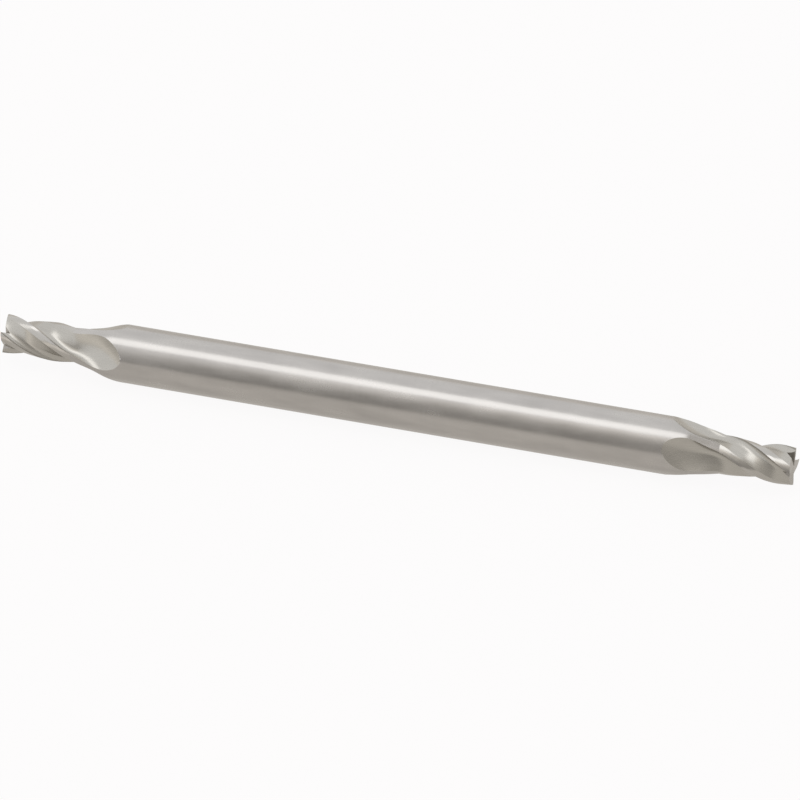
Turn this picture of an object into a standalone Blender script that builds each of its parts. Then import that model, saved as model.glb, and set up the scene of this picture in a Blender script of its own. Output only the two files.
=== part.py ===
"""Double-ended end mill with four right-hand flutes at each end, ground from one round bar.

The tool lies along X with its middle at the origin. The bar is a cylindrical shank that tapers
at each end to a smaller cutting diameter. Each end is a loft of cross-sections: along the length
of cut the section turns with the helix, past it the grinding wheel leaves the bar, so the flutes
stop turning, widen on the neck and close on the shank as rounded scoops. One Boolean cutter at
each end then grinds the end teeth: dish, end relief and a gash in front of every tooth.
"""

import math

import bmesh
import bpy
import numpy as np
from mathutils import Matrix, Vector

# Driving dimensions, in metres
OVERALL_LENGTH = 0.066675  # tip to tip, 2 5/8 in
SHANK_DIAMETER = 0.0047625  # 3/16 in
CUT_DIAMETER = 0.003175  # 1/8 in
CUT_LENGTH = 0.0060  # length of cut at each end, a little under 1/4 in
CORE_DIAMETER = 0.0022  # round core left between the flutes
TOOTH_WIDTH = 0.00066  # cutting edge to heel, round the cutting circle
LAND_WIDTH = 0.00024  # narrow relieved land behind the cutting edge
RELIEF_FADE = 0.0016  # stretch before the neck over which the relief dies out
TURN_STOP = 0.0002  # the flutes leave the helix this far before the neck
TURN_EASE = 0.0009  # half the stretch over which they leave it
EXIT_DELAY = 0.0005  # flute floor stays at the core this far past the length of cut
EXIT_LENGTH = 0.0040  # then rises to the shank over this length, on an arc
SCOOP_DELAY = 0.0012  # the scoop starts to narrow this far past the length of cut
SCOOP_LAND = 0.00030  # strip left between neighbouring scoops, round the shank
GASH_WEB = 0.00028  # radius of the web that the gashes leave at the centre
CUTTER_MARGIN = 0.00064  # the end cutters stand out this far beyond the bar

# Driving angles, in degrees
HELIX_ANGLE = 30.0
EXIT_HELIX = 9.5  # the scoops lean this much on the shank
RAKE_ANGLE = 8.0
LAND_RELIEF = 8.0
HEEL_RELIEF = 12.0
NECK_TAPER = 14.5  # half angle of the cone from cutting diameter to shank
DISH_ANGLE = 2.5  # end edges fall this much towards the centre
END_RELIEF = 8.0
EDGE_LEAD = 1.0  # end edges are ground this far ahead of the side edges
GASH_ANGLE = 36.0  # floor of the gash below the end plane
GASH_FLARE = 52.0  # open angle of the gash
LEFT_INDEX = 54.0  # where a tooth stands at the left tip, round +X from +Z
RIGHT_INDEX = 79.5  # the same at the right tip

FLUTES = 4

# The flute's curve in the cut: reaches of its handles, as shares
FLOOR_PLACE = 0.30  # the floor lies this far from the flute's middle to its rake face
FLOOR_BACK = 0.40  # along the floor towards the heel, of the distance to the heel
HEEL_REACH = 0.30  # down the tooth's back, of the distance to the floor
FLOOR_FRONT = 0.55  # along the floor towards the rake face, of the flute's depth
RAKE_REACH = 0.45  # down the rake face, of the flute's depth
LEAST_MOUTH = 0.15  # of the scoop's width, left where it closes
WIDEST_GASH = 0.9  # of the room that a gash has

# Fineness of the mesh
LAND_STEPS = 1
HEEL_STEPS = 3
BACK_STEPS = 6
FRONT_STEPS = 5
DEGREES_PER_RING = 6.5
NECK_RINGS = 8
SCOOP_RINGS = 7
LEAST_SPACING = 0.00006  # rings that would stand closer than this are left out
CLOSE_STRETCH = 0.0006  # least stretch before the scoops' ends that has close rings
EVEN_GAP = 0.0007  # from the scoops' ends to the first even ring on the shank

SMOOTH_ANGLE = 28.0

cut_radius = CUT_DIAMETER / 2
shank_radius = SHANK_DIAMETER / 2
core_radius = CORE_DIAMETER / 2
half_length = OVERALL_LENGTH / 2

pitch = 2 * math.pi / FLUTES
turn_rate = math.tan(math.radians(HELIX_ANGLE)) / cut_radius  # radians per metre of length
exit_rate = math.tan(math.radians(EXIT_HELIX)) / shank_radius
turn_length = CUT_LENGTH - TURN_STOP
tooth_angle = TOOTH_WIDTH / cut_radius
flute_half = (pitch - tooth_angle) / 2
scoop_half = (pitch - SCOOP_LAND / shank_radius) / 2

neck_slope = math.tan(math.radians(NECK_TAPER))
neck_end = CUT_LENGTH + (shank_radius - cut_radius) / neck_slope
exit_start = CUT_LENGTH + EXIT_DELAY
exit_end = exit_start + EXIT_LENGTH
exit_rise = shank_radius - core_radius
exit_arc = (EXIT_LENGTH**2 + exit_rise**2) / (2 * exit_rise)  # radius of the floor's arc
scoop_start = CUT_LENGTH + SCOOP_DELAY
tip_stock = 0.1 * cut_radius  # ground away by the end cutter
ring_size = FLUTES * (LAND_STEPS + HEEL_STEPS + BACK_STEPS + FRONT_STEPS)


def smooth_step(value, start, end):
    """0 before start, 1 after end, and an S-curve between."""
    t = min(max((value - start) / (end - start), 0.0), 1.0)
    return t * t * (3 - 2 * t)


def envelope(s):
    """Radius of the turned bar at distance s from the tip."""
    return min(cut_radius + max(s - CUT_LENGTH, 0.0) * neck_slope, shank_radius)


def turn(s):
    """Angle of the cutting edge at s: the helix, eased to the slow turn of the scoops."""
    past = min(max(s - (turn_length - TURN_EASE), 0.0), 2 * TURN_EASE)
    on_helix = min(s, turn_length - TURN_EASE) + past - past**2 / (4 * TURN_EASE)
    return exit_rate * s + (turn_rate - exit_rate) * on_helix


def floor_radius(s):
    """Distance of the flute's floor from the axis: the core, then an arc out to the shank."""
    run = min(max(s - exit_start, 0.0), EXIT_LENGTH)
    risen = core_radius + exit_arc - math.sqrt(exit_arc**2 - run**2)
    return min(risen, envelope(s))


def mouth_half_angle(s):
    """Half the angle that the flute opens on the bar: wider on the neck, closing in an ellipse."""
    opened = flute_half + (scoop_half - flute_half) * smooth_step(s, CUT_LENGTH, neck_end)
    t = min(max((s - scoop_start) / (exit_end - scoop_start), 0.0), 1.0)
    return opened * max(math.sqrt(1 - t * t), LEAST_MOUTH)


def polar(radius, angle):
    return Vector((radius * math.cos(angle), radius * math.sin(angle)))


def bezier(start, start_handle, end_handle, end, steps):
    """Points of a cubic curve, without its last one."""
    points = []
    for i in range(steps):
        t = i / steps
        u = 1 - t
        points.append(
            u**3 * start + 3 * u * u * t * start_handle + 3 * u * t * t * end_handle + t**3 * end
        )
    return points


def land_points(s, edge_angle, heel_angle):
    """Cutting edge to heel: the land, then the heel relief, which both die out at the neck."""
    outer = envelope(s)
    relief = 1 - smooth_step(s, CUT_LENGTH - RELIEF_FADE, CUT_LENGTH)
    land_drop = LAND_WIDTH * math.tan(math.radians(LAND_RELIEF)) * relief
    heel_run = TOOTH_WIDTH - LAND_WIDTH
    heel_drop = land_drop + heel_run * math.tan(math.radians(HEEL_RELIEF)) * relief
    share = LAND_WIDTH / TOOTH_WIDTH
    land_end = edge_angle + (heel_angle - edge_angle) * share
    points = [polar(outer, edge_angle)]
    for i in range(1, LAND_STEPS):
        t = i / LAND_STEPS
        points.append(polar(outer - land_drop * t, edge_angle + (land_end - edge_angle) * t))
    for i in range(HEEL_STEPS):
        t = i / HEEL_STEPS
        radius = outer - land_drop - (heel_drop - land_drop) * t
        points.append(polar(radius, land_end + (heel_angle - land_end) * t))
    return points, polar(outer - heel_drop, heel_angle)


def flute_points(s, heel, edge, middle, half):
    """Heel to the next cutting edge: down the tooth's back, over the floor, up the rake face.

    In the cut the floor lies towards a hooked rake face. On the neck it moves to the middle
    of the flute and both sides become the halves of one shallow parabola.
    """
    freed = smooth_step(s, CUT_LENGTH, neck_end)
    depth = envelope(s) - floor_radius(s)
    floor_angle = middle + half * FLOOR_PLACE * (1 - freed)
    floor = polar(floor_radius(s), floor_angle)
    along = polar(1.0, floor_angle + math.pi / 2)
    up = polar(1.0, middle)
    edge_angle = middle + half
    rake_in = polar(-1.0, edge_angle - math.radians(RAKE_ANGLE))
    cut_handles = (
        floor - along * FLOOR_BACK * (heel - floor).length,
        heel + (floor - heel) * HEEL_REACH,
        floor + along * FLOOR_FRONT * depth,
        edge + rake_in * RAKE_REACH * depth,
    )
    back_side = abs((heel - floor).dot(along)) / 3
    front_side = abs((edge - floor).dot(along)) / 3
    back_rise = (heel - floor).dot(up) * 2 / 3
    front_rise = (edge - floor).dot(up) * 2 / 3
    scoop_handles = (
        floor - along * back_side,
        heel + along * back_side - up * back_rise,
        floor + along * front_side,
        edge - along * front_side - up * front_rise,
    )
    handles = [cut.lerp(scoop, freed) for cut, scoop in zip(cut_handles, scoop_handles)]
    back = bezier(heel, handles[1], handles[0], floor, BACK_STEPS)
    front = bezier(floor, handles[2], handles[3], edge, FRONT_STEPS)
    return back + front


def section(s):
    """The whole cross-section at s, anticlockwise from the first tooth's cutting edge."""
    half = mouth_half_angle(s)
    middle = turn(s) + pitch - flute_half
    edge_angle = middle + half - pitch
    heel_angle = middle - half
    land, heel = land_points(s, edge_angle, heel_angle)
    next_edge = polar(envelope(s), middle + half)
    tooth = land + flute_points(s, heel, next_edge, middle, half)
    ring = []
    for k in range(FLUTES):
        rotation = Matrix.Rotation(k * pitch, 2)
        ring += [rotation @ point for point in tooth]
    return ring


def stations():
    """Distances from the tip at which the loft has a ring."""
    cut_rings = math.ceil(math.degrees(turn_rate * CUT_LENGTH) / DEGREES_PER_RING)
    cut = np.linspace(-tip_stock, CUT_LENGTH, cut_rings + 1)
    neck = np.linspace(CUT_LENGTH, neck_end, NECK_RINGS + 1)
    arc = np.sin(np.linspace(0.0, math.pi / 2, SCOOP_RINGS + 1))
    begin = min(max(scoop_start, neck_end), exit_end - CLOSE_STRETCH)
    scoop = begin + (exit_end - begin) * arc
    places = sorted([*cut, *neck[1:], *scoop])
    kept = [places[0]]
    for place in places[1:]:
        if place - kept[-1] > LEAST_SPACING:
            kept.append(place)
    return kept


def end_frame(side):
    """Local frame of an end: Z runs into the tool from the tip, X through the first tooth."""
    index = math.radians(LEFT_INDEX if side < 0 else RIGHT_INDEX)
    inward = Vector((-side, 0, 0))
    through_tooth = Vector((0, -math.sin(index), math.cos(index)))
    across = inward.cross(through_tooth)
    frame = Matrix((through_tooth, across, inward)).transposed().to_4x4()
    frame.translation = Vector((side * half_length, 0, 0))
    return frame


def end_rings(side):
    """Rings of one end in world space, tip first, each in step with the shank's even facets."""
    frame = end_frame(side)
    places = stations()
    rings = [[frame @ Vector((p.x, p.y, s)) for p in section(s)] for s in places]
    facet = 2 * math.pi / ring_size
    angles = [math.atan2(-p.y, p.z) for p in rings[-1]]
    way = -side
    first = [(angle - way * i * facet) % (2 * math.pi) for i, angle in enumerate(angles)]
    mean = math.atan2(sum(map(math.sin, first)), sum(map(math.cos, first)))
    shift = round(mean / facet)
    order = [(way * (j - shift)) % ring_size for j in range(ring_size)]
    rings = [[ring[i] for i in order] for ring in rings]
    x = side * (half_length - places[-1] - EVEN_GAP)
    even = [
        Vector((x, -shank_radius * math.sin(j * facet), shank_radius * math.cos(j * facet)))
        for j in range(ring_size)
    ]
    return rings + [even]


def build_blank():
    """The fluted bar, still with flat, oversize ends."""
    bm = bmesh.new()
    rings = end_rings(-1) + end_rings(1)[::-1]
    rows = [[bm.verts.new(point) for point in ring] for ring in rings]
    for near, far in zip(rows, rows[1:]):
        for j in range(ring_size):
            k = (j + 1) % ring_size
            bm.faces.new((near[j], near[k], far[k], far[j]))
    bm.faces.new(rows[0])
    bm.faces.new(rows[-1][::-1])
    bmesh.ops.recalc_face_normals(bm, faces=bm.faces)
    mesh = bpy.data.meshes.new("end_mill")
    bm.to_mesh(mesh)
    bm.free()
    blank = bpy.data.objects.new("end_mill", mesh)
    bpy.context.collection.objects.link(blank)
    return blank


def end_face_depth(x, y):
    """Depth of a tooth's end face at x along its end edge and y behind it."""
    dish = math.tan(math.radians(DISH_ANGLE))
    relief = math.tan(math.radians(END_RELIEF))
    return (cut_radius - x) * dish + y * relief


def build_end_cutter(side):
    """Everything that is ground off one end, as one closed form.

    Seen from the tip it has a sector for each tooth: the tooth's sloping end face and, in front
    of the next tooth, a gash whose floor falls outwards from the web at the centre. The gash's
    upright wall stands in the plane of the next tooth's end edge.
    """
    reach = cut_radius + CUTTER_MARGIN
    corner = reach * math.tan(pitch / 2)
    gash_fall = math.tan(math.radians(GASH_ANGLE))
    flare = 1 / math.tan(math.radians(GASH_FLARE))
    lead = -math.radians(EDGE_LEAD)

    def face_before(along, ahead):
        """Depth of the end face at a point along the next tooth's edge and ahead of it."""
        x = along * math.cos(pitch) + ahead * math.sin(pitch)
        y = along * math.sin(pitch) - ahead * math.cos(pitch)
        return end_face_depth(x, y)

    web_depth = face_before(GASH_WEB, 0)
    gash_depth = web_depth + (reach - GASH_WEB) * gash_fall
    face_slope = (face_before(reach, corner) - face_before(reach, 0)) / corner
    gash_width = (gash_depth - face_before(reach, 0)) / (flare + face_slope)
    gash_width = min(gash_width, WIDEST_GASH * corner)

    bm = bmesh.new()

    def vertices(along, ahead, depth):
        """One point for each sector, given from the edge of the tooth that follows it."""
        point = Vector((along, -ahead, depth))
        turns = [Matrix.Rotation((k + 1) * pitch + lead, 3, "Z") for k in range(FLUTES)]
        return [bm.verts.new(rotation @ point) for rotation in turns]

    centre = bm.verts.new((0, 0, end_face_depth(0, 0)))
    edge = vertices(reach, 0, end_face_depth(reach, 0))
    gash = vertices(reach, 0, gash_depth)
    web = vertices(GASH_WEB, 0, web_depth)
    shoulder = vertices(reach, gash_width, face_before(reach, gash_width))
    outer = vertices(reach, corner, face_before(reach, corner))
    above = vertices(reach, corner, -CUTTER_MARGIN)
    for k in range(FLUTES):
        last = k - 1
        follow = (k + 1) % FLUTES
        bm.faces.new((centre, edge[last], outer[k], shoulder[k], web[k]))
        bm.faces.new((web[k], shoulder[k], gash[k]))
        bm.faces.new((centre, web[k], gash[k], edge[k]))
        rim = (outer[k], shoulder[k], gash[k], edge[k], outer[follow])
        bm.faces.new((*rim, above[follow], above[k]))
    bm.faces.new(above)
    bmesh.ops.recalc_face_normals(bm, faces=bm.faces)
    mesh = bpy.data.meshes.new("end_cutter")
    bm.to_mesh(mesh)
    bm.free()
    cutter = bpy.data.objects.new("end_cutter_left" if side < 0 else "end_cutter_right", mesh)
    bpy.context.collection.objects.link(cutter)
    cutter.matrix_world = end_frame(side)
    cutter.hide_render = True
    cutter.display_type = "WIRE"
    return cutter


def ground_steel():
    material = bpy.data.materials.new("ground_tool_steel")
    material.use_nodes = True
    shader = material.node_tree.nodes["Principled BSDF"]
    shader.inputs["Base Color"].default_value = (0.56, 0.56, 0.55, 1.0)
    shader.inputs["Metallic"].default_value = 1.0
    shader.inputs["Roughness"].default_value = 0.3
    return material


def cut(blank, cutter):
    modifier = blank.modifiers.new(cutter.name, "BOOLEAN")
    modifier.operation = "DIFFERENCE"
    modifier.solver = "EXACT"
    modifier.object = cutter


def build_end_mill():
    mill = build_blank()
    mill.data.materials.append(ground_steel())
    mill.data.shade_smooth()
    mill.data.set_sharp_from_angle(angle=math.radians(SMOOTH_ANGLE))
    for side in (-1, 1):
        cut(mill, build_end_cutter(side))
    return mill


for old in list(bpy.data.objects):
    bpy.data.objects.remove(old, do_unlink=True)
build_end_mill()
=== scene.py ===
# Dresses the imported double-ended end mill: a finer ground surface over the CAD solid, its
# steel finishes, a pale floor, soft studio light and the photograph's camera.
import math

import bpy
import numpy as np
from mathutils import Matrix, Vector


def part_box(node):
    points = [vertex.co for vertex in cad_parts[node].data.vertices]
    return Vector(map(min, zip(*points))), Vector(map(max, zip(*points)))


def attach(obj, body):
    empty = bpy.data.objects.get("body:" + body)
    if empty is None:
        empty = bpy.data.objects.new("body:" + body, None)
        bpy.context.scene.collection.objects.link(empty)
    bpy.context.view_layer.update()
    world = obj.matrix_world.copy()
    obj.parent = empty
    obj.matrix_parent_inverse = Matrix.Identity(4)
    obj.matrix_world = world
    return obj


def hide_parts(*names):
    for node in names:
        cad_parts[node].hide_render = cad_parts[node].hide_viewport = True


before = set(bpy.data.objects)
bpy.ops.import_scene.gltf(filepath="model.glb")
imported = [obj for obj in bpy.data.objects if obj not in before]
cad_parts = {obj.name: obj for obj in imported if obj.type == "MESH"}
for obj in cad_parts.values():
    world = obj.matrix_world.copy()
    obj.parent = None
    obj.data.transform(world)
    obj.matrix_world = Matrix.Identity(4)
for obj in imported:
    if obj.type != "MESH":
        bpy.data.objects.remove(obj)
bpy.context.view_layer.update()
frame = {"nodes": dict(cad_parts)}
print("frame loaded:", ", ".join(frame["nodes"]))


# One sRGB hex colour as linear RGBA: each channel goes through the sRGB curve.
def linearColor(hexText):
    channels = np.array([int(hexText[i:i + 2], 16) for i in (1, 3, 5)]) / 255
    curve = np.where(channels > 0.04045, ((channels + 0.055) / 1.055) ** 2.4, channels / 12.92)
    return (*map(float, curve), 1.0)


# Adds a node: settings go on the node, values on its inputs, and links join inputs to outputs.
def addNode(tree, kind, settings=None, values=None, links=None):
    node = tree.nodes.new(kind)
    for name, value in (settings or {}).items():
        setattr(node, name, value)
    for name, value in (values or {}).items():
        node.inputs[name].default_value = value
    for name, source in (links or {}).items():
        tree.links.new(source, node.inputs[name])
    return node


# Camera
# The photograph is a close crop from far away: a long lens, a little right of square to the tool.
view = {
    "yaw": 16.5,  # degrees round from the front, towards the right-hand tip
    "elevation": 34.8,
    "distance": 0.92,
    "lens": 511.1,  # millimetres, as the sensor
    "sensor": 36.0,
    "shift": (0.0041, -0.0009),
    "clip": (0.05, 20.0),
}


# Stands at the distance from the middle of the tool, at the yaw and the elevation, and looks back.
def makeCamera():
    yaw = math.radians(view["yaw"])
    elevation = math.radians(view["elevation"])
    away = Vector((
        math.sin(yaw) * math.cos(elevation),
        -math.cos(yaw) * math.cos(elevation),
        math.sin(elevation),
    ))
    data = bpy.data.cameras.new("photoCamera")
    data.lens = view["lens"]
    data.sensor_width = view["sensor"]
    data.shift_x, data.shift_y = view["shift"]
    data.clip_start, data.clip_end = view["clip"]
    camera = bpy.data.objects.new("photoCamera", data)
    camera.location = away * view["distance"]
    camera.rotation_euler = (-away).to_track_quat("-Z", "Y").to_euler()
    bpy.context.scene.collection.objects.link(camera)
    bpy.context.scene.camera = camera


# The steel's finishes, in the order of the material slots.
finishes = [
    "groundSteelShank",
    "groundSteelFlute",
    "groundSteelRelief",
    "groundSteelLand",
    "groundSteelEnd",
]

# Fluted bar
# The same grinding as in the CAD solid, on a grid fine enough for smooth reflections. Lengths
# are in metres and angles in degrees. The overall length and the shank come from the frame.
mill = {
    "cutDiameter": 0.003175,  # 1/8 in
    "cutLength": 0.0060,
    "coreDiameter": 0.0022,
    "toothWidth": 0.00066,  # cutting edge to heel, round the cutting circle
    "landWidth": 0.00024,  # narrow relieved land behind the cutting edge
    "reliefFade": 0.0016,  # stretch before the neck over which the relief dies out
    "turnStop": 0.0002,  # the flutes leave the helix this far before the neck
    "turnEase": 0.0009,  # half the stretch over which they leave it
    "exitDelay": 0.0005,  # the flute's floor stays on the core this far past the cut
    "exitLength": 0.0040,  # then rises to the shank over this length
    "scoopDelay": 0.0012,  # the scoop starts to narrow this far past the cut
    "scoopLand": 0.00030,  # left between neighbouring scoops, round the shank
    "flutes": 4,
    "helix": 30.0,
    "exitHelix": 9.5,  # lean of the scoops on the shank
    "rake": 8.0,
    "landRelief": 8.0,
    "heelRelief": 12.0,
    "neckTaper": 14.5,
    "neckRound": 0.0006,  # half the length of the round at the shank, which only the scene has
    "leftIndex": 54.0,  # where a tooth stands at each tip, round +X from +Z
    "rightIndex": 79.5,
    "floorPlace": 0.30,  # where the floor lies, of the way from the flute's middle to its rake face
    "floorBack": 0.40,  # handle along the floor, of the distance to the heel
    "heelReach": 0.30,  # handle down the tooth's back, of the distance to the floor
    "floorFront": 0.55,  # handles along the floor and down the rake face, of the flute's depth
    "rakeReach": 0.45,
    "leastMouth": 0.15,  # of the scoop's width, left where it closes
    "tipStock": 0.1,  # of the cutting radius, for the end teeth's wheel to take away
    # Fineness: steps round each part of a tooth and its flute, rings along each part of an end.
    "landSteps": 5,
    "heelSteps": 13,
    "backSteps": 20,
    "frontSteps": 16,
    "cutRings": 96,
    "neckRings": 44,
    "scoopRings": 26,
    "easeRings": 10,
    "shankRings": 9,
    "easeLength": 0.0016,  # over which the rings become even on the shank
    "smoothAngle": 28.0,  # edges that turn more than this stay sharp
}

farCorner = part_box("end_mill")[1]
halfLength = float(farCorner[0])
shankRadius = float(farCorner[2])
cutRadius = mill["cutDiameter"] / 2
coreRadius = mill["coreDiameter"] / 2
pitch = 2 * math.pi / mill["flutes"]
turnRate = math.tan(math.radians(mill["helix"])) / cutRadius
exitRate = math.tan(math.radians(mill["exitHelix"])) / shankRadius
turnLength = mill["cutLength"] - mill["turnStop"]
fluteHalf = (pitch - mill["toothWidth"] / cutRadius) / 2
scoopHalf = (pitch - mill["scoopLand"] / shankRadius) / 2
neckSlope = math.tan(math.radians(mill["neckTaper"]))
neckEnd = mill["cutLength"] + (shankRadius - cutRadius) / neckSlope
exitStart = mill["cutLength"] + mill["exitDelay"]
exitEnd = exitStart + mill["exitLength"]
exitRise = shankRadius - coreRadius
exitArc = (mill["exitLength"] ** 2 + exitRise ** 2) / (2 * exitRise)
scoopStart = mill["cutLength"] + mill["scoopDelay"]
tipStock = mill["tipStock"] * cutRadius
landPart = mill["landSteps"] + mill["heelSteps"]
toothSteps = landPart + mill["backSteps"] + mill["frontSteps"]
ringSize = mill["flutes"] * toothSteps


# 0 before start, 1 after end, 3t^2 - 2t^3 between.
def smoothStep(value, start, end):
    t = np.clip((value - start) / (end - start), 0.0, 1.0)
    return t * t * (3 - 2 * t)


# Unit vectors at an array of angles, times an array of radii.
def polar(radius, angle):
    return np.stack([radius * np.cos(angle), radius * np.sin(angle)], axis=-1)


# Radius of the turned bar at the distances s from the tip: cylinder, cone, cylinder. A parabola
# rounds the cone's last corner, by a quarter of the slope times half the round's length.
def barRadius(s):
    sharp = np.minimum(cutRadius + np.maximum(s - mill["cutLength"], 0) * neckSlope, shankRadius)
    inCorner = np.clip(1 - np.abs(s - neckEnd) / mill["neckRound"], 0.0, 1.0)
    return sharp - neckSlope * mill["neckRound"] / 4 * inCorner ** 2


# Angle of the cutting edge: a straight helix, whose rate falls to the slow turn of the scoops.
def edgeTurn(s):
    ease = mill["turnEase"]
    past = np.clip(s - (turnLength - ease), 0.0, 2 * ease)
    onHelix = np.minimum(s, turnLength - ease) + past - past ** 2 / (4 * ease)
    return exitRate * s + (turnRate - exitRate) * onHelix


# Radius of the flute's floor: the core, then a circular arc that climbs to the shank.
def floorRadius(s):
    run = np.clip(s - exitStart, 0.0, mill["exitLength"])
    risen = coreRadius + exitArc - np.sqrt(exitArc ** 2 - run ** 2)
    return np.minimum(risen, barRadius(s))


# Half the angle of the flute's mouth: it widens on the neck and closes as half an ellipse.
def mouthHalf(s):
    opened = fluteHalf + (scoopHalf - fluteHalf) * smoothStep(s, mill["cutLength"], neckEnd)
    t = np.clip((s - scoopStart) / (exitEnd - scoopStart), 0.0, 1.0)
    return opened * np.maximum(np.sqrt(1 - t * t), mill["leastMouth"])


# Cubic curves between two ends, each drawn towards two handles: u^3 and t^3 times the ends plus
# 3u^2 t and 3u t^2 times the handles. One curve for each station, without its last point.
def cubicCurves(start, startHandle, endHandle, end, steps):
    t = (np.arange(steps) / steps)[None, :, None]
    u = 1 - t
    return (
        u ** 3 * start[:, None] + 3 * u * u * t * startHandle[:, None]
        + 3 * u * t * t * endHandle[:, None] + t ** 3 * end[:, None]
    )


# Cutting edge to heel: two straight falls in radius along the angle, land then heel relief.
def landCurves(s, edgeAngle, heelAngle):
    outer = barRadius(s)
    relief = 1 - smoothStep(s, mill["cutLength"] - mill["reliefFade"], mill["cutLength"])
    landFall = mill["landWidth"] * math.tan(math.radians(mill["landRelief"]))
    heelWidth = mill["toothWidth"] - mill["landWidth"]
    heelFall = heelWidth * math.tan(math.radians(mill["heelRelief"]))
    share = mill["landWidth"] / mill["toothWidth"]
    landAt = np.arange(mill["landSteps"]) / mill["landSteps"]
    heelAt = np.arange(mill["heelSteps"]) / mill["heelSteps"]
    place = np.concatenate([share * landAt, share + (1 - share) * heelAt])
    fall = np.concatenate([landFall * landAt, landFall + heelFall * heelAt])
    angle = edgeAngle[:, None] + (heelAngle - edgeAngle)[:, None] * place
    points = polar(outer[:, None] - relief[:, None] * fall, angle)
    heel = polar(outer - relief * (landFall + heelFall), heelAngle)
    return points, heel


# Heel to the next cutting edge: two cubics that meet on the floor. In the cut the second one
# climbs a hooked rake face, and on the neck both become the halves of one shallow parabola.
def fluteCurves(s, heel, edge, middle, half):
    freed = smoothStep(s, mill["cutLength"], neckEnd)[:, None]
    depth = (barRadius(s) - floorRadius(s))[:, None]
    floorAngle = middle + half * mill["floorPlace"] * (1 - freed[:, 0])
    floor = polar(floorRadius(s), floorAngle)
    along = polar(1.0, floorAngle + math.pi / 2)
    up = polar(1.0, middle)
    rakeIn = polar(-1.0, middle + half - math.radians(mill["rake"]))
    back, front = heel - floor, edge - floor
    backLength = np.linalg.norm(back, axis=1)[:, None]
    backSide = np.abs((back * along).sum(axis=1))[:, None] / 3
    frontSide = np.abs((front * along).sum(axis=1))[:, None] / 3
    backRise = (back * up).sum(axis=1)[:, None] * 2 / 3
    frontRise = (front * up).sum(axis=1)[:, None] * 2 / 3
    pairs = [
        (floor - along * mill["floorBack"] * backLength, floor - along * backSide),
        (heel - back * mill["heelReach"], heel + along * backSide - up * backRise),
        (floor + along * mill["floorFront"] * depth, floor + along * frontSide),
        (edge + rakeIn * mill["rakeReach"] * depth, edge - along * frontSide - up * frontRise),
    ]
    handles = [inCut + (onNeck - inCut) * freed for inCut, onNeck in pairs]
    backCurve = cubicCurves(heel, handles[1], handles[0], floor, mill["backSteps"])
    frontCurve = cubicCurves(floor, handles[2], handles[3], edge, mill["frontSteps"])
    return np.concatenate([backCurve, frontCurve], axis=1)


# Cross-sections at the stations s: one tooth and its flute, turned by the pitch for the others.
def sections(s):
    half = mouthHalf(s)
    middle = edgeTurn(s) + pitch - fluteHalf
    land, heel = landCurves(s, middle + half - pitch, middle - half)
    nextEdge = polar(barRadius(s), middle + half)
    tooth = np.concatenate([land, fluteCurves(s, heel, nextEdge, middle, half)], axis=1)
    angles = np.arange(mill["flutes"]) * pitch
    cosine, sine = np.cos(angles), np.sin(angles)
    turns = np.stack([np.stack([cosine, -sine], -1), np.stack([sine, cosine], -1)], -2)
    rings = np.einsum("kab,nmb->nkma", turns, tooth)
    return rings.reshape(len(s), ringSize, 2)


# Stations along one end: even in the cut and on the neck, closer where the scoops close.
def stations():
    cut = np.linspace(-tipStock, mill["cutLength"], mill["cutRings"])
    neck = np.linspace(mill["cutLength"], neckEnd, mill["neckRings"])
    close = np.sin(np.linspace(0.0, math.pi / 2, mill["scoopRings"]))
    scoop = neckEnd + (exitEnd - neckEnd) * close
    return np.concatenate([cut, neck[1:], scoop[1:]])


# Axes of an end: through its first tooth, across it, and into the tool from the tip.
def endAxes(side):
    index = math.radians(mill["leftIndex"] if side < 0 else mill["rightIndex"])
    inward = np.array([-side, 0.0, 0.0])
    throughTooth = np.array([0.0, -math.sin(index), math.cos(index)])
    return throughTooth, np.cross(inward, throughTooth), inward


# Rings of one end in space. Past the scoops the points slide round the cylinder until they
# stand at even angles, so that both ends meet on the same ring.
def endRings(side):
    throughTooth, across, inward = endAxes(side)
    s = stations()
    flat = sections(s)
    tip = np.array([side * halfLength, 0.0, 0.0])
    rings = tip + flat[..., :1] * throughTooth + flat[..., 1:] * across + s[:, None, None] * inward
    facet = 2 * math.pi / ringSize
    angles = np.arctan2(-rings[-1, :, 1], rings[-1, :, 2])
    steps = np.arange(ringSize)
    first = angles + side * steps * facet
    mean = math.atan2(np.sin(first).sum(), np.cos(first).sum())
    shift = round(mean / facet)
    order = (-side * (steps - shift)) % ringSize
    rings = rings[:, order]
    angles = angles[order]
    slide = (steps * facet - angles + math.pi) % (2 * math.pi) - math.pi
    ways = np.arange(1, mill["easeRings"] + 1) / mill["easeRings"]
    eased = angles + smoothStep(ways, 0.0, 1.0)[:, None] * slide
    places = side * (halfLength - exitEnd - ways * mill["easeLength"])
    x = np.broadcast_to(places[:, None], eased.shape)
    even = np.stack([x, -shankRadius * np.sin(eased), shankRadius * np.cos(eased)], axis=-1)
    return np.concatenate([rings, even]), order


# Quads between neighbouring rings, as rows of four point numbers. The last point joins the first.
def gridFaces(ringCount):
    rows = np.arange(ringCount - 1)[:, None] * ringSize
    near = np.arange(ringSize)
    far = (near + 1) % ringSize
    return np.stack([rows + near, rows + far, rows + ringSize + far, rows + ringSize + near], -1)


# Number of the tooth's point that each strip of quads starts from, and whether the tooth's
# points rise in number along the ring there.
def stripStarts(order):
    following = np.roll(order, -1)
    rising = following == (order + 1) % ringSize
    return np.where(rising, order, following), rising


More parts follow.
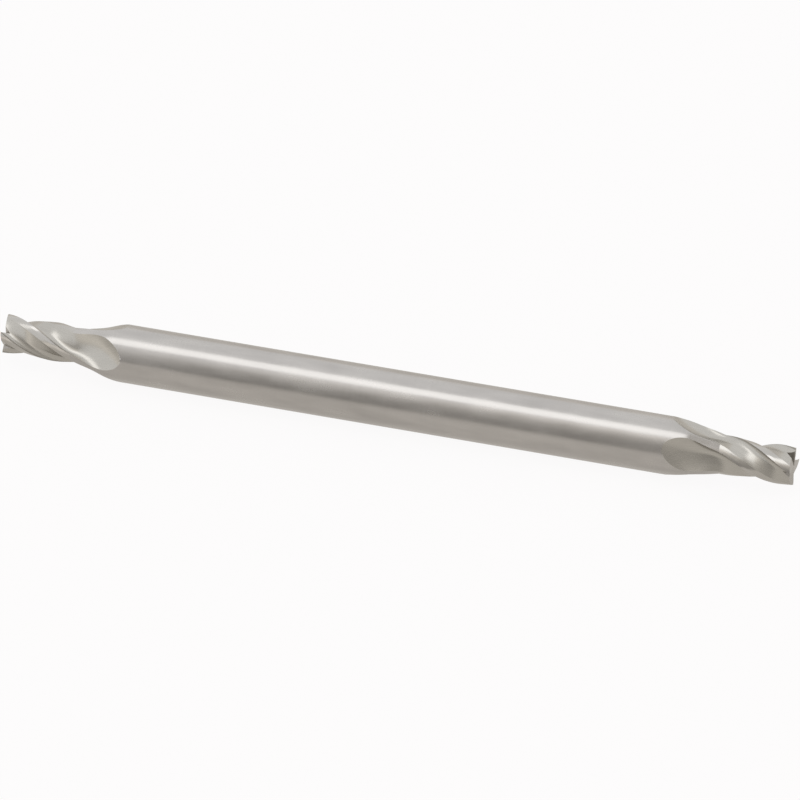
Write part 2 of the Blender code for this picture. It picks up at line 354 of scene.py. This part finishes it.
# Which finish each quad has, by its place round the tooth and its distance from the tip.
def quadFinishes(order):
    s = stations()
    inCut = ((s[1:] + s[:-1]) / 2 < mill["cutLength"])[:, None]
    step = (stripStarts(order)[0] % toothSteps)[None]
    onLand = step < mill["landSteps"]
    onHeel = (step >= mill["landSteps"]) & (step < landPart)
    finish = np.full((len(s) - 1, ringSize), finishes.index("groundSteelFlute"))
    finish[inCut & onHeel] = finishes.index("groundSteelRelief")
    finish[inCut & onLand] = finishes.index("groundSteelLand")
    finish[~inCut & (onLand | onHeel)] = finishes.index("groundSteelShank")
    ease = np.full((mill["easeRings"], ringSize), finishes.index("groundSteelShank"))
    return np.concatenate([finish, ease])


# Where a quad's corners lie on the wheel's marks, in metres: across is the length round the
# section from the tooth's edge, and along is the length of the flute's own path, which is the
# distance from the tip over the cosine of the helix.
def quadMarks(rings, order):
    start, rising = stripStarts(order)
    gaps = np.linalg.norm(np.roll(rings, -1, axis=1) - rings, axis=2)
    placed = np.zeros_like(gaps)
    placed[:, start] = gaps
    perTooth = placed.reshape(len(rings), mill["flutes"], toothSteps)
    ends = np.cumsum(perTooth, axis=2)
    shift = np.arange(mill["flutes"])[None, :, None] * pitch * shankRadius
    low = (ends - perTooth + shift).reshape(placed.shape)[:, start]
    high = (ends + shift).reshape(placed.shape)[:, start]
    near, far = np.where(rising, low, high), np.where(rising, high, low)
    along = (halfLength - np.abs(rings[:, :, 0])) / math.cos(math.radians(mill["helix"]))
    along = np.broadcast_to(along, near.shape)
    nearMarks, farMarks = np.stack([near, along], -1), np.stack([far, along], -1)
    return np.stack([nearMarks[:-1], farMarks[:-1], farMarks[1:], nearMarks[1:]], axis=2)


# Places a new mesh object at the origin, with a material number for each face and a place on
# the wheel's marks for each corner.
def addMesh(name, points, faces, materials, indices, marks):
    mesh = bpy.data.meshes.new(name)
    mesh.from_pydata(points, [], faces)
    for material in materials:
        mesh.materials.append(material)
    mesh.polygons.foreach_set("material_index", indices)
    layer = mesh.uv_layers.new(name="wheelMarks")
    layer.uv.foreach_set("vector", marks)
    mesh.update()
    piece = bpy.data.objects.new(name, mesh)
    bpy.context.scene.collection.objects.link(piece)
    return piece


# The whole bar: rings of the left end, rings along the shank, rings of the right end.
def buildBar(materials):
    left, leftOrder = endRings(-1)
    right, rightOrder = endRings(1)
    leftMarks, rightMarks = quadMarks(left, leftOrder), quadMarks(right, rightOrder)
    ways = np.linspace(0, 1, mill["shankRings"] + 2)[1:-1, None, None]
    shank = left[-1] + (right[-1] - left[-1]) * ways
    rings = np.concatenate([left, shank, right[::-1]])
    quads = gridFaces(len(rings)).reshape(-1, 4)
    pointCount = len(rings) * ringSize
    caps = [list(range(ringSize))[::-1], list(range(pointCount - ringSize, pointCount))]
    plain = np.full((mill["shankRings"] + 1, ringSize), finishes.index("groundSteelShank"))
    indices = np.concatenate([quadFinishes(leftOrder), plain, quadFinishes(rightOrder)[::-1]])
    indices = np.concatenate([indices.ravel(), [finishes.index("groundSteelEnd")] * len(caps)])
    flipped = rightMarks[::-1][:, :, [3, 2, 1, 0]]
    middle = np.zeros((mill["shankRings"] + 1, ringSize, 4, 2))
    marks = np.concatenate([leftMarks, middle, flipped]).reshape(-1, 2)
    marks = np.concatenate([marks, np.zeros((len(caps) * ringSize, 2))])
    points = rings.reshape(-1, 3)
    return addMesh("endMill", points, quads.tolist() + caps, materials, indices, marks.ravel())


# End teeth
# The wheel's work at the tips: dish, relief and a gash in front of each tooth.
teeth = {
    "dish": 2.5,  # the end edges fall this much towards the centre
    "relief": 8.0,
    "lead": 1.0,  # the end edges are ground this far ahead of the side edges
    "gashAngle": 36.0,  # floor of the gash below the end
    "gashFlare": 52.0,  # open angle of the gash
    "web": 0.00028,  # radius that the gashes leave at the centre
    "widestGash": 0.9,  # of the room that a gash has
    "margin": 0.00064,  # the cutter stands out this far beyond the bar
}


# Depth of a tooth's end face: it falls towards the centre and away behind the edge.
def endDepth(x, y):
    fall = math.tan(math.radians(teeth["dish"]))
    return (cutRadius - x) * fall + y * math.tan(math.radians(teeth["relief"]))


# The same at a point along the next tooth's edge and ahead of it.
def depthBefore(along, ahead):
    cosine, sine = math.cos(pitch), math.sin(pitch)
    return endDepth(along * cosine + ahead * sine, along * sine - ahead * cosine)


# Everything that is ground off one end: a point on the axis and six for each tooth, turned by
# the pitch.
def buildEndCutter(side, materials):
    reach = cutRadius + teeth["margin"]
    corner = reach * math.tan(pitch / 2)
    webDepth = depthBefore(teeth["web"], 0)
    gashDepth = webDepth + (reach - teeth["web"]) * math.tan(math.radians(teeth["gashAngle"]))
    faceSlope = (depthBefore(reach, corner) - depthBefore(reach, 0)) / corner
    flare = 1 / math.tan(math.radians(teeth["gashFlare"]))
    gashWidth = (gashDepth - depthBefore(reach, 0)) / (flare + faceSlope)
    gashWidth = min(gashWidth, teeth["widestGash"] * corner)
    sector = np.array([
        (reach, 0, endDepth(reach, 0)),
        (reach, 0, gashDepth),
        (teeth["web"], 0, webDepth),
        (reach, -gashWidth, depthBefore(reach, gashWidth)),
        (reach, -corner, depthBefore(reach, corner)),
        (reach, -corner, -teeth["margin"]),
    ])
    turns = (np.arange(mill["flutes"]) + 1) * pitch - math.radians(teeth["lead"])
    x = sector[:, 0] * np.cos(turns)[:, None] - sector[:, 1] * np.sin(turns)[:, None]
    y = sector[:, 0] * np.sin(turns)[:, None] + sector[:, 1] * np.cos(turns)[:, None]
    z = np.broadcast_to(sector[:, 2], x.shape)
    flat = np.concatenate([[[0, 0, endDepth(0, 0)]], np.stack([x, y, z], -1).reshape(-1, 3)])
    throughTooth, across, inward = endAxes(side)
    tip = np.array([side * halfLength, 0.0, 0.0])
    points = tip + flat @ np.stack([throughTooth, across, inward])
    numbers = np.arange(1, len(points)).reshape(mill["flutes"], len(sector)).tolist()
    faces = []
    for k in range(mill["flutes"]):
        edge, gash, web, shoulder, outer, above = numbers[k]
        lastEdge = numbers[k - 1][0]
        nextOuter, nextAbove = numbers[(k + 1) % mill["flutes"]][-2:]
        faces.append([lastEdge, outer, shoulder, web, 0])
        faces.append([shoulder, gash, web])
        faces.append([web, gash, edge, 0])
        faces.append([above, nextAbove, nextOuter, edge, gash, shoulder, outer])
    faces.append([tooth[-1] for tooth in numbers][::-1])
    indices = [finishes.index("groundSteelEnd")] * len(faces)
    corners = sum(len(face) for face in faces)
    return addMesh("endCutter", points, faces, materials, indices, np.zeros(corners * 2))


# Cuts both ends' teeth and keeps the result as the piece's own mesh.
def grindEnds(bar, materials):
    cutters = [buildEndCutter(side, materials) for side in (-1, 1)]
    for cutter in cutters:
        grind = bar.modifiers.new("grind", "BOOLEAN")
        grind.operation = "DIFFERENCE"
        grind.solver = "EXACT"
        grind.object = cutter
    solved = bar.evaluated_get(bpy.context.evaluated_depsgraph_get())
    ground = bpy.data.meshes.new_from_object(solved)
    bar.modifiers.clear()
    bar.data = ground
    for cutter in cutters:
        bpy.data.objects.remove(cutter)
    ground.shade_smooth()
    ground.set_sharp_from_angle(angle=math.radians(mill["smoothAngle"]))


# Finishes
# High-speed steel, hardened and ground bare. Every finish is the same steel, and only the wheel
# differs: each entry has its tint, how rough the wheel leaves it, and in millimetres the spacing
# of its marks, how far a mark runs, how deep the marks are, and how far the surface waves.
# Streaky is the share of the marks in the tint, and the rest is soft clouds. Follows is what the
# marks lie along: the wheel's path in the UV map, or round the tool. Real wheel marks are about
# 0.02 mm apart, too fine to show here, so they are drawn several times as coarse.
steel = {
    "groundSteelShank": {
        "color": "#c0bdba", "rough": 0.24, "spread": 0.05, "mark": 0.16, "run": 9.0,
        "depth": 0.0001, "wave": 0.003, "streaky": 0.15, "follows": "Object",
    },
    "groundSteelFlute": {
        "color": "#c0bdb7", "rough": 0.27, "spread": 0.05, "mark": 0.12, "run": 3.0,
        "depth": 0.0005, "wave": 0.003, "streaky": 0.5, "follows": "UV",
    },
    "groundSteelRelief": {
        "color": "#c1beb9", "rough": 0.21, "spread": 0.05, "mark": 0.10, "run": 2.0,
        "depth": 0.0004, "wave": 0.002, "streaky": 0.5, "follows": "UV",
    },
    "groundSteelLand": {
        "color": "#c3c0bc", "rough": 0.19, "spread": 0.04, "mark": 0.08, "run": 2.0,
        "depth": 0.0002, "wave": 0.001, "streaky": 0.4, "follows": "UV",
    },
    "groundSteelEnd": {
        "color": "#bebbb7", "rough": 0.26, "spread": 0.06, "mark": 0.10, "run": 1.5,
        "depth": 0.0004, "wave": 0.001, "streaky": 0.5, "follows": "Object",
    },
}

# The two noises behind the streaks and the clouds.
noise = {
    "reach": (0.3, 0.7),  # nearly all their values lie between these
    "streakDetail": 3.0,
    "streakRoughness": 0.6,
    "cloudDetail": 2.0,
    "cloudRun": 4.5,  # millimetres along the tool
    "cloudWidth": 1.1,  # and across it
    "darkest": 0.84,  # of the tint, where it is darkest
}


# One ground finish. Fine streaks, long along the wheel's path and short across it, shift the
# tint, the roughness and the surface itself a little, so that reflections break up into threads.
def groundSteel(name):
    look = steel[name]
    material = bpy.data.materials.new(name)
    material.use_nodes = True
    tree = material.node_tree
    tree.nodes.clear()
    across, along = 1000 / look["mark"], 1000 / look["run"]
    place = addNode(tree, "ShaderNodeTexCoord")
    scale = (across, along, 1.0 if look["follows"] == "UV" else along)
    streakPlace = addNode(
        tree, "ShaderNodeMapping", values={"Scale": scale},
        links={"Vector": place.outputs[look["follows"]]},
    )
    streaks = addNode(
        tree, "ShaderNodeTexNoise", {"noise_dimensions": "3D"},
        {"Scale": 1.0, "Detail": noise["streakDetail"], "Roughness": noise["streakRoughness"]},
        {"Vector": streakPlace.outputs["Vector"]},
    )
    cloudAcross = 1000 / noise["cloudWidth"]
    cloudPlace = addNode(
        tree, "ShaderNodeMapping",
        values={"Scale": (1000 / noise["cloudRun"], cloudAcross, cloudAcross)},
        links={"Vector": place.outputs["Object"]},
    )
    clouds = addNode(
        tree, "ShaderNodeTexNoise", {"noise_dimensions": "3D"},
        {"Scale": 1.0, "Detail": noise["cloudDetail"]}, {"Vector": cloudPlace.outputs["Vector"]},
    )
    both = addNode(
        tree, "ShaderNodeMix", {"data_type": "FLOAT"}, {0: look["streaky"]},
        {2: clouds.outputs["Fac"], 3: streaks.outputs["Fac"]},
    ).outputs[0]
    low, high = noise["reach"]
    rough = addNode(
        tree, "ShaderNodeMapRange",
        values={"From Min": low, "From Max": high, "To Min": look["rough"] - look["spread"],
                "To Max": look["rough"] + look["spread"]},
        links={"Value": both},
    )
    share = addNode(
        tree, "ShaderNodeMapRange", values={"From Min": low, "From Max": high},
        links={"Value": both},
    )
    light = linearColor(look["color"])
    dark = tuple(noise["darkest"] * part for part in light[:3]) + (1.0,)
    tint = addNode(
        tree, "ShaderNodeMix", {"data_type": "RGBA"}, {6: dark, 7: light},
        {0: share.outputs["Result"]},
    )
    waves = addNode(
        tree, "ShaderNodeBump", values={"Strength": 1.0, "Distance": look["wave"] / 1000},
        links={"Height": clouds.outputs["Fac"]},
    )
    bump = addNode(
        tree, "ShaderNodeBump", values={"Strength": 1.0, "Distance": look["depth"] / 1000},
        links={"Height": streaks.outputs["Fac"], "Normal": waves.outputs["Normal"]},
    )
    shader = addNode(
        tree, "ShaderNodeBsdfPrincipled", values={"Metallic": 1.0},
        links={"Base Color": tint.outputs[2], "Roughness": rough.outputs["Result"],
               "Normal": bump.outputs["Normal"]},
    )
    addNode(tree, "ShaderNodeOutputMaterial", links={"Surface": shader.outputs["BSDF"]})
    return material


# The bar with its teeth ground, riding on the one body.
def makeEndMill():
    materials = [groundSteel(name) for name in finishes]
    bar = buildBar(materials)
    grindEnds(bar, materials)
    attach(bar, "root")
    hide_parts("end_mill")
    print("end mill:", len(bar.data.polygons), "faces")


# Floor and light
studio = {
    "floorColor": "#fefdfd",
    "floorSize": 3.0,
    "floorGlow": 0.94,  # share of the floor's white that doesn't need light
    # The floor's brightness in the metal is painted, by the distance in front of the tool's axis:
    # painted shade makes it a little darker under the tool and darker again, from the turn, towards
    # the front card.
    "floorPaintedShade": {"under": 0.73, "beside": 0.78, "far": 0.46},
    "floorReach": {"under": 0.002, "beside": 0.007, "turn": 0.010, "far": 0.08},
    # Beyond the tool's left end and a little in front of it, a painted pool of light makes the
    # floor
    # lighter in the metal: how much, and the ramps across it.
    "paintedPoolGain": 0.42,
    "paintedPoolAlong": (-0.031, -0.028),
    "paintedPoolFront": (-0.009, -0.005),
    "worldColor": "#ffffff",
    "background": 1.0,  # the world's strength in the picture and in the metal
    "fill": 0.75,  # and as light
    "keyPower": 0.37,
    "keyPlace": (-0.12, -0.115, 0.587),
    "keySize": (0.48, 0.27),
    "cardColor": "#fdf8f1",
    "cardCurve": 2.0,  # a card's brightness rises with this power of the height
}

# Cards, each with the two ends of its foot, its height, and its brightness at foot and top.
# Lean is how far the top of a card stands along X from its foot.
cards = {
    "frontCard": {
        "from": (-0.21, -0.5), "to": (0.05, -0.5), "height": 1.0, "lean": 0.0,
        "glow": (0.40, 1.74),
    },
    "cornerCard": {
        "from": (0.05, -0.5), "to": (1.0, -0.5), "height": 1.0, "lean": 0.0,
        "glow": (0.54, 0.94),
    },
    "rightCard": {
        "from": (0.6, -0.45), "to": (0.6, 0.25), "height": 1.4, "lean": -0.3,
        "glow": (0.50, 0.73),
    },
    "backCard": {
        "from": (1.0, 0.7), "to": (-1.0, 0.7), "height": 0.30, "lean": 0.0,
        "glow": (0.76, 0.94),
    },
}


# 1 for rays that should see the plain white background, 0 for the ones that carry light.
def backgroundRays(tree):
    rays = addNode(tree, "ShaderNodeLightPath")
    seen = addNode(
        tree, "ShaderNodeMath", {"operation": "MAXIMUM"},
        links={0: rays.outputs["Is Camera Ray"], 1: rays.outputs["Is Glossy Ray"]},
    )
    return addNode(
        tree, "ShaderNodeMath", {"operation": "MAXIMUM"},
        links={0: seen.outputs["Value"], 1: rays.outputs["Is Transmission Ray"]},
    ).outputs["Value"]


# Plain white all round, weaker as light than as background.
def makeWorld():
    world = bpy.data.worlds.new("studio")
    bpy.context.scene.world = world
    world.use_nodes = True
    tree = world.node_tree
    tree.nodes.clear()
    strength = addNode(
        tree, "ShaderNodeMapRange",
        values={"To Min": studio["fill"], "To Max": studio["background"]},
        links={"Value": backgroundRays(tree)},
    )
    light = addNode(
        tree, "ShaderNodeBackground", values={"Color": linearColor(studio["worldColor"])},
        links={"Strength": strength.outputs["Result"]},
    )
    addNode(tree, "ShaderNodeOutputWorld", links={"Surface": light.outputs["Background"]})


# A flat quad from its four corners.
def addQuad(name, corners, material):
    mesh = bpy.data.meshes.new(name)
    mesh.from_pydata(corners, [], [(0, 1, 2, 3)])
    mesh.materials.append(material)
    quad = bpy.data.objects.new(name, mesh)
    bpy.context.scene.collection.objects.link(quad)
    return quad


# Painted brightness of the table in the metal: painted shade near and far, and a painted pool of
# light. Two straight ramps away from the tool are multiplied, and two more mark the painted pool of
# light: level = near * far * (1 + gain * patch).
def paintedFloorReflection(tree):
    level, reach = studio["floorPaintedShade"], studio["floorReach"]
    place = addNode(tree, "ShaderNodeTexCoord")
    axes = addNode(tree, "ShaderNodeSeparateXYZ", links={"Vector": place.outputs["Object"]})
    ramps = [
        ("Y", (-reach["beside"], -reach["under"]), (level["beside"], level["under"])),
        ("Y", (-reach["far"], -reach["turn"]), (level["far"] / level["beside"], 1.0)),
        ("X", studio["paintedPoolAlong"], (studio["paintedPoolGain"], 0.0)),
        ("Y", studio["paintedPoolFront"], (1.0, 0.0)),
    ]
    near, far, gain, patch = (
        addNode(
            tree, "ShaderNodeMapRange",
            values={"From Min": start, "From Max": end, "To Min": low, "To Max": high},
            links={"Value": axes.outputs[axis]},
        ).outputs["Result"]
        for axis, (start, end), (low, high) in ramps
    )
    shade = addNode(tree, "ShaderNodeMath", {"operation": "MULTIPLY"}, links={0: near, 1: far})
    # Painted pool of light: raises the floor's level in the metal inside the patch.
    poolOfPaintedLight = addNode(
        tree, "ShaderNodeMath", {"operation": "MULTIPLY_ADD"}, {2: 1.0}, {0: gain, 1: patch},
    )
    return addNode(
        tree, "ShaderNodeMath", {"operation": "MULTIPLY"},
        links={0: shade.outputs["Value"], 1: poolOfPaintedLight.outputs["Value"]},
    ).outputs["Value"]


# Matt white table top: part of its white is there without light, so it stays pale in the picture,
# and the rest is lit, so it keeps the tool's shadow. In the metal it shows a painted reflection: a
# warm light grey with painted shade close to the tool.
def makeFloor():
    material = bpy.data.materials.new("mattWhiteTable")
    material.use_nodes = True
    tree = material.node_tree
    tree.nodes.clear()
    color = linearColor(studio["floorColor"])
    lit = addNode(tree, "ShaderNodeBsdfDiffuse", values={"Color": color})
    rays = addNode(tree, "ShaderNodeLightPath")
    # Reflections see the painted shade and the painted pool of light, and the camera sees plain
    # white.
    level = addNode(
        tree, "ShaderNodeMix", {"data_type": "FLOAT"}, {3: 1.0},
        {0: rays.outputs["Is Camera Ray"], 2: paintedFloorReflection(tree)},
    )
    tint = addNode(
        tree, "ShaderNodeMix", {"data_type": "RGBA"},
        {6: linearColor(studio["cardColor"]), 7: color}, {0: rays.outputs["Is Camera Ray"]},
    )
    glow = addNode(
        tree, "ShaderNodeEmission",
        links={"Color": tint.outputs[2], "Strength": level.outputs[0]},
    )
    share = addNode(
        tree, "ShaderNodeMath", {"operation": "MULTIPLY_ADD"}, {1: studio["floorGlow"]},
        {0: rays.outputs["Is Camera Ray"], 2: rays.outputs["Is Glossy Ray"]},
    )
    mixed = addNode(
        tree, "ShaderNodeMixShader",
        links={0: share.outputs["Value"], 1: lit.outputs["BSDF"], 2: glow.outputs["Emission"]},
    )
    addNode(tree, "ShaderNodeOutputMaterial", links={"Surface": mixed.outputs["Shader"]})
    half, low = studio["floorSize"] / 2, -shankRadius
    corners = [(-half, -half, low), (half, -half, low), (half, half, low), (-half, half, low)]
    addQuad("floor", corners, material)


# One soft lamp over the front left. It leans only towards the tool's axis, so its long side
# stays level along the tool.
def makeKeyLight():
    data = bpy.data.lights.new("keyLight", "AREA")
    data.shape = "RECTANGLE"
    data.size, data.size_y = studio["keySize"]
    data.energy = studio["keyPower"]
    key = bpy.data.objects.new("keyLight", data)
    key.location = studio["keyPlace"]
    down = Vector((0.0, -key.location.y, -key.location.z))
    key.rotation_euler = down.to_track_quat("-Z", "Y").to_euler()
    bpy.context.scene.collection.objects.link(key)


# Glowing card beside the table, with painted brightness: lighter upwards with a power of the
# height, as a warm grey card lit from above would be. Only reflections see it, and the metal shows
# the cards as its bands from dark to light.
def makeCard(name):
    card = cards[name]
    material = bpy.data.materials.new("paintedGlowCard")
    material.use_nodes = True
    tree = material.node_tree
    tree.nodes.clear()
    place = addNode(tree, "ShaderNodeTexCoord")
    axes = addNode(tree, "ShaderNodeSeparateXYZ", links={"Vector": place.outputs["Object"]})
    height = addNode(
        tree, "ShaderNodeMapRange", values={"From Max": card["height"]},
        links={"Value": axes.outputs["Z"]},
    )
    curve = addNode(
        tree, "ShaderNodeMath", {"operation": "POWER"}, {1: studio["cardCurve"]},
        {0: height.outputs["Result"]},
    )
    low, high = card["glow"]
    # The card's painted glow, from its foot to its top.
    level = addNode(
        tree, "ShaderNodeMapRange", values={"To Min": low, "To Max": high},
        links={"Value": curve.outputs["Value"]},
    )
    glow = addNode(
        tree, "ShaderNodeEmission", values={"Color": linearColor(studio["cardColor"])},
        links={"Strength": level.outputs["Result"]},
    )
    addNode(tree, "ShaderNodeOutputMaterial", links={"Surface": glow.outputs["Emission"]})
    (startX, startY), (endX, endY) = card["from"], card["to"]
    foot, top, lean = -shankRadius, card["height"], card["lean"]
    corners = [
        (startX, startY, foot), (endX, endY, foot), (endX + lean, endY, top),
        (startX + lean, startY, top),
    ]
    quad = addQuad(name, corners, material)
    quad.visible_camera = False
    quad.visible_diffuse = False
    quad.visible_shadow = False


# Colours in the picture are the ones that are set, without a film curve.
def setLook():
    bpy.context.scene.view_settings.view_transform = "Standard"


makeCamera()
makeWorld()
makeFloor()
makeKeyLight()
for cardName in cards:
    makeCard(cardName)
setLook()
print("studio ready")
makeEndMill()
